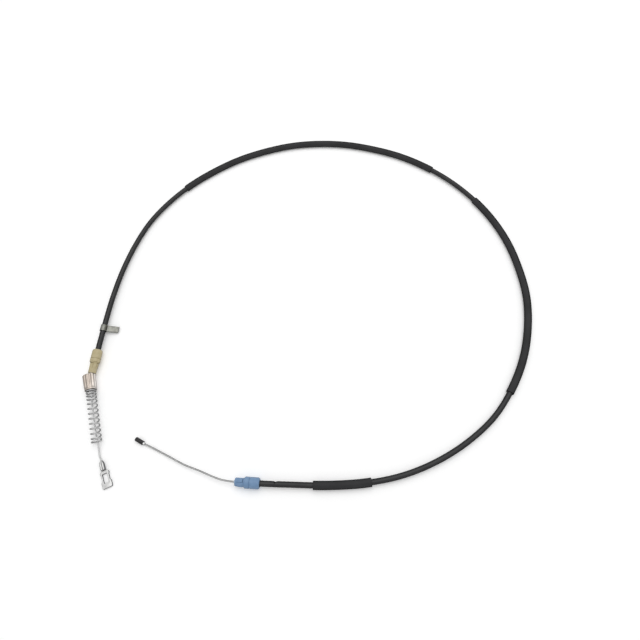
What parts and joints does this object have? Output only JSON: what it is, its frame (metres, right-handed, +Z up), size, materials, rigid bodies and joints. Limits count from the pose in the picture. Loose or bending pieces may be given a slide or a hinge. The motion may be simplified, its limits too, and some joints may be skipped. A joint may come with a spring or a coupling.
{
  "type": "parking brake cable",
  "caption": "Sheathed parking brake cable lying in an open loop, with a barrel end, plastic conduit connectors, protective sleeves, a return spring in a fluted cup and a stamped eye.",
  "frame": {"origin": "on the ground, under the middle of the whole cable as it lies", "axes": "+Z up from the ground; +X across the loop, away from the tan connector; +Y from the barrel's side of the loop to the side with the long rear sleeve"},
  "size_m": [0.6944, 0.6242, 0.0183],
  "materials": {
    "jacket_plastic": "black, slightly glossy, lightly rubbed",
    "sleeve_plastic": "matte dark grey",
    "liner_plastic": "plain",
    "armour_steel": "plain drawn wire",
    "rope_steel": "galvanised strands",
    "ferrule_steel": "zinc plated",
    "clip_zinc": "dull zinc plated sheet",
    "tan_plastic": "tan moulded plastic",
    "seal_rubber": "matte black",
    "cup_zinc": "warm bright zinc plated",
    "spring_steel": "grey zinc plated wire",
    "eye_steel": "pale zinc plated sheet",
    "blue_plastic": "blue moulded plastic",
    "seal_pale": "pale bluish plastic",
    "barrel_steel": "dark oxide",
    "swage_zinc": "pale zinc plated"
  },
  "bodies": {
    "conduit": {"conduit_jacket": "jacket_plastic", "conduit_armour": "armour_steel", "conduit_liner": "liner_plastic", "inner_rope": "rope_steel", "rear_sleeve": "sleeve_plastic", "side_sleeve": "sleeve_plastic", "front_sleeve": "sleeve_plastic", "conduit_clip": "clip_zinc", "rear_connector": "tan_plastic", "rear_ferrule": "ferrule_steel", "rear_wiper_seal": "seal_rubber", "guide_tube": "cup_zinc", "spring_cup": "cup_zinc", "return_spring": "spring_steel", "front_connector": "blue_plastic", "front_ferrule": "ferrule_steel", "front_wiper_seal": "seal_pale"},
    "front_end": {"front_barrel": "barrel_steel", "rope_swage": "swage_zinc", "front_rope": "rope_steel"},
    "rear_end": {"rear_eye": "eye_steel", "rear_rope": "rope_steel"}
  },
  "joints": [
    {"name": "front_pull", "type": "slide", "parent": "conduit", "child": "front_end", "axis": [-0.9866, 0.1629, 0], "range_m": [-0.015, 0.024], "deforming": ["front_rope"]},
    {"name": "rear_draw", "type": "slide", "parent": "conduit", "child": "rear_end", "axis": [-0.2113, 0.9774, 0], "range_m": [-0.015, 0.024], "deforming": ["rear_rope"]}
  ],
  "couplings": [
    {"joint": "rear_draw", "follows": "front_pull", "ratio": 1}
  ]
}
